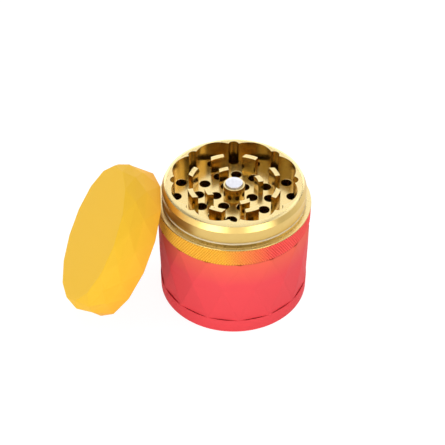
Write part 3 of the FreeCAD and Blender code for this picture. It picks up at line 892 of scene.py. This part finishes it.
# %% Magnet post
POST_RADIUS = 4.35 * MM
POST_SOFTNESS = 0.15 * MM
magnet_seat = chamber_magnet_top - MAGNET_HEIGHT - MAGNET_GAP
post_bm = bmesh.new()
spun(post_bm, [
    (0.0, root),
    (POST_RADIUS, root),
    (POST_RADIUS, POST_TOP),
    (MAGNET_RADIUS + MAGNET_GAP, POST_TOP),
    (MAGNET_RADIUS + MAGNET_GAP, magnet_seat),
    (0.0, magnet_seat),
])
bmesh.ops.remove_doubles(post_bm, verts=post_bm.verts, dist=MERGE_DISTANCE)
soften(post_bm, POST_SOFTNESS, SHARP_TURNED)
cut_bright_and_lit(post_bm)
make_piece(post_bm, "magnet_post", [gold_turned, gold_bright_lit], "chamber", "grinding_chamber")

# %% [markdown]
# The grip is knurled: two sets of slanting grooves leave rows of small pyramids. A fine grid
# spun round the axis has every second corner pushed in, like a chequerboard, and splitting
# each face along its short diagonal puts the grooves where the knurling wheel pressed them.
# A bump map would do from afar, but the outline would stay smooth, so this knurl is real.

# %% Knurled grip
KNURL_WIDTH = 1.1 * MM
KNURL_HEIGHT = 1.5 * MM
GRIP_CLEARANCE = 0.02 * MM
GRIP_TOP_CLEARANCE = 0.01 * MM
grip_height = GRIP_TOP - BODY_TOP
knurl_columns = 2 * round(2 * math.pi * BODY_RADIUS / KNURL_WIDTH)
knurl_rows = 2 * round(grip_height / KNURL_HEIGHT)
grip_bm = bmesh.new()
knurl_levels = [BODY_TOP + grip_height * row / knurl_rows for row in range(knurl_rows + 1)]
spun(grip_bm, [(BODY_RADIUS, level) for level in knurl_levels], knurl_columns)
for vert in grip_bm.verts:
    column = round(math.atan2(vert.co.y, vert.co.x) / (2 * math.pi) * knurl_columns)
    row = round((vert.co.z - BODY_TOP) / grip_height * knurl_rows)
    if (column + row) % 2 or row in (0, knurl_rows):
        vert.co.xy *= 1 - KNURL_DEPTH / BODY_RADIUS
bmesh.ops.triangulate(grip_bm, faces=grip_bm.faces[:], quad_method="SHORT_EDGE")
grip_low = open_edges(grip_bm, BODY_TOP)
grip_high = open_edges(grip_bm, GRIP_TOP)
grip_bore = GRIP_CORE + GRIP_CLEARANCE
inside_low = ring_of(grip_bm, knurl_columns, grip_bore, BODY_TOP)
inside_high = ring_of(grip_bm, knurl_columns, grip_bore, GRIP_TOP - GRIP_TOP_CLEARANCE)
for loops in (grip_low + inside_low, inside_low + inside_high, inside_high + grip_high):
    bmesh.ops.bridge_loops(grip_bm, edges=loops)
make_piece(grip_bm, "knurled_grip", [grip_lacquer], "chamber", "grinding_chamber")
print("knurl of", knurl_columns // 2, "pyramids round and", knurl_rows // 2, "high")

# %% [markdown]
# A nylon ring sits in the collar's groove, and stands just proud of it so that the lid turns
# on plastic. A torus would be near it, but the real one has flat sides that fill the groove, so
# it is a turned ring with well rounded edges.

# %% Glide ring
GLIDE_OUTSIDE = COLLAR_RADIUS + 0.2 * MM
GLIDE_INSIDE = COLLAR_RADIUS - 0.65 * MM
GLIDE_LOW = SHOULDER + 0.75 * MM
GLIDE_HIGH = SHOULDER + 1.65 * MM
GLIDE_SOFTNESS = 0.35 * MM
glide_bm = turned_ring(GLIDE_OUTSIDE, GLIDE_INSIDE, GLIDE_LOW, GLIDE_HIGH, GLIDE_SOFTNESS)
make_piece(glide_bm, "glide_ring_bead", [nylon], "chamber", "glide_ring")

# %% [markdown]
# The spigots carry fine threads, seen when a section is unscrewed. A small triangle climbs
# round the axis as it is spun, a pitch for every turn. The Screw modifier could draw the same
# ridge, but the spin operator takes a rise as well, and leaves nothing to apply.

# %% Threads
THREAD_PITCH = 1.0 * MM
THREAD_TURNS = 2
THREAD_HEIGHT = 0.17 * MM
THREAD_SUNK = 0.1 * MM
THREAD_HALF_WIDTH = 0.35 * THREAD_PITCH
THREAD_START = 2.6 * MM
THREAD_STEPS = 96


def add_thread(name, section_foot, body, node):
    """A ridge that climbs round the spigot below a section's foot."""
    low = section_foot - THREAD_START
    inner = SPIGOT_RADIUS - THREAD_SUNK
    crest = SPIGOT_RADIUS + THREAD_HEIGHT
    corners = (
        (inner, 0, low - THREAD_HALF_WIDTH),
        (crest, 0, low),
        (inner, 0, low + THREAD_HALF_WIDTH),
    )
    bm = bmesh.new()
    face = bm.faces.new([bm.verts.new(corner) for corner in corners])
    bmesh.ops.spin(bm, geom=[face, *face.edges, *face.verts], cent=(0, 0, 0), axis=(0, 0, 1),
                   dvec=(0, 0, THREAD_PITCH / THREAD_STEPS), angle=2 * math.pi * THREAD_TURNS,
                   steps=THREAD_STEPS * THREAD_TURNS)
    make_piece(bm, name, [gold_turned], body, node)


add_thread("storage_thread", BASE_TOP, "storage", "storage_chamber")
add_thread("chamber_thread", BODY_TOP, "chamber", "grinding_chamber")

# %% [markdown]
# The sieve and the ring that holds it are out of sight inside the body. New pieces could
# replace them, but their solids are near enough for what is hidden, so they stay and only get
# their metals.

# %% Sieve
for node_name, material in (("sieve_screen", steel_mesh), ("sieve_ring", gold_turned)):
    mesh = frame["nodes"][node_name].data
    mesh.materials.clear()
    mesh.materials.append(material)
    print(node_name, "in", material.name)

# %% [markdown]
# The object stands on a wide level floor. It lies a hair below the foot, so that the two never
# share a plane, and it is so wide that its far edge is nearly on the horizon.

# %% Floor
FLOOR_HALF = 12.0
FLOOR_GAP = 0.02 * MM
floor_bm = bmesh.new()
bmesh.ops.create_grid(floor_bm, x_segments=1, y_segments=1, size=FLOOR_HALF,
                      matrix=Matrix.Translation((0.0, 0.0, -FLOOR_GAP)))
floor_mesh = bpy.data.meshes.new("floor")
floor_bm.to_mesh(floor_mesh)
floor_bm.free()
floor = bpy.data.objects.new("floor", floor_mesh)
scene.collection.objects.link(floor)
print("floor", 2 * FLOOR_HALF, "m square")

# %% [markdown]
# The floor is white card. Bare card would come out grey, and more lamps would burn out the
# object, so to the camera and in reflections the card glows nearly up to white. It keeps a
# soft shadow, because the rest of its light still comes from the lamps. To all other light it
# is plain card.

# %% White card
CARD_TINT = "#F2F2F2"
CARD_SHADOW_TINT = "#7F7F7F"
CARD_GLOW = 0.90
WHITE = linear("#FFFFFF")
card = bpy.data.materials.new("White card")
card.use_nodes = True
card_tree = card.node_tree
card_tree.nodes.clear()
path = add(card_tree, "ShaderNodeLightPath").outputs
plain = add(card_tree, "ShaderNodeBsdfDiffuse", {"Color": linear(CARD_TINT)})
dim = add(card_tree, "ShaderNodeBsdfDiffuse", {"Color": linear(CARD_SHADOW_TINT)})
glow = add(card_tree, "ShaderNodeEmission", {"Color": WHITE, "Strength": CARD_GLOW})
lit = add(card_tree, "ShaderNodeAddShader", {0: dim.outputs[0], 1: glow.outputs[0]})
seen = add(card_tree, "ShaderNodeMath",
           {0: path["Is Camera Ray"], 1: path["Is Glossy Ray"]}, operation="MAXIMUM")
seen_any = add(card_tree, "ShaderNodeMath",
               {0: seen.outputs[0], 1: path["Is Transmission Ray"]}, operation="MAXIMUM")
both = add(card_tree, "ShaderNodeMixShader",
           {0: seen_any.outputs[0], 1: plain.outputs[0], 2: lit.outputs[0]})
add(card_tree, "ShaderNodeOutputMaterial", {"Surface": both.outputs[0]})
floor_mesh.materials.append(card)
print(card.name, "glows with a strength of", CARD_GLOW)

# %% [markdown]
# Behind the object is white paper. Only the camera sees it so. Everything else sees a dim
# studio, because gold shows what stands round it, and in a white room it would lose the brown
# that makes it look like metal.

# %% Backdrop
STUDIO_GLOW = 0.1
PAPER_GLOW = 1.0
world = bpy.data.worlds.new("Dim studio")
world.use_nodes = True
world_tree = world.node_tree
world_tree.nodes.clear()
sight = add(world_tree, "ShaderNodeLightPath").outputs
studio = add(world_tree, "ShaderNodeBackground", {"Color": WHITE, "Strength": STUDIO_GLOW})
paper = add(world_tree, "ShaderNodeBackground", {"Color": WHITE, "Strength": PAPER_GLOW})
backdrop = add(world_tree, "ShaderNodeMixShader",
               {0: sight["Is Camera Ray"], 1: studio.outputs[0], 2: paper.outputs[0]})
add(world_tree, "ShaderNodeOutputWorld", {"Surface": backdrop.outputs[0]})
scene.world = world
print(world.name, "glows with a strength of", STUDIO_GLOW)

# %% [markdown]
# A product shot on a white table: a soft box above, one behind whose image falls on the level
# gold, one on each side, and low strips all round near the table. Two short bright strips in
# front, left and right, set the facets apart. High up on the camera's side it stays dark,
# which is what turns the walls of the pocket brown. A picture of a studio could light the
# scene as well, but lamps with names can be moved one at a time.

# %% Lamps
AIM = Vector((-20 * MM, 0.0, 30 * MM))


def soft_box(name, turn, rise, far, width, height, brightness):
    """A soft box that looks at the object from so many metres away.

    It stands a number of degrees to the right of the front, and a number of degrees up.
    """
    side = math.radians(turn)
    up = math.radians(rise)
    towards = Vector((math.sin(side) * math.cos(up), -math.cos(side) * math.cos(up), math.sin(up)))
    lamp = bpy.data.lights.new(name, "AREA")
    lamp.shape = "RECTANGLE"
    lamp.size = width
    lamp.size_y = height
    lamp.energy = brightness * math.pi * width * height
    box = bpy.data.objects.new(name, lamp)
    box.location = AIM + towards * far
    box.rotation_euler = (-towards).to_track_quat("-Z", "Y").to_euler()
    box.visible_camera = False
    scene.collection.objects.link(box)
    print(name, "gives", round(lamp.energy, 2), "W")


soft_box("top_box", 0, 88, 0.9, 0.92, 0.92, 1.03)
soft_box("back_box", 172, 48, 0.9, 1.6, 0.55, 1.12)
soft_box("back_strip", 172, 13, 1.1, 2.6, 0.5, 1.88)
soft_box("right_box", 90, 42, 0.9, 0.8, 0.45, 1.18)
soft_box("right_strip", 90, 11, 1.0, 1.2, 0.35, 0.25)
soft_box("left_strip", -90, 16, 1.0, 1.2, 0.4, 1.75)
soft_box("left_box", -90, 42, 0.9, 0.8, 0.45, 0.35)
soft_box("front_strip", -3, 11, 0.85, 1.4, 0.3, 1.15)
soft_box("front_left_strip", -38, 12, 0.85, 0.45, 0.3, 5.3)
soft_box("front_right_strip", 30, 12, 0.85, 0.45, 0.3, 4.55)

# %% [markdown]
# The camera stands where the photograph's outline puts it: in front and above, a little to
# the left, with a long lens. It could be placed by eye, but a fitted camera lets the render and
# the photograph be compared place by place.

# %% Camera
CAMERA_PLACE = (-47.93 * MM, -296.19 * MM, 296.04 * MM)
CAMERA_HEADING = -8.296
CAMERA_DOWN = 41.277
CAMERA_LENS = 77.52
SENSOR_WIDTH = 36.0
camera_data = bpy.data.cameras.new("camera")
camera_data.lens = CAMERA_LENS
camera_data.sensor_width = SENSOR_WIDTH
camera = bpy.data.objects.new("camera", camera_data)
camera.location = CAMERA_PLACE
camera.rotation_euler = (math.radians(90 - CAMERA_DOWN), 0.0, math.radians(CAMERA_HEADING))
scene.collection.objects.link(camera)
scene.camera = camera
scene.view_settings.view_transform = "Standard"
print("lens", CAMERA_LENS, "mm")
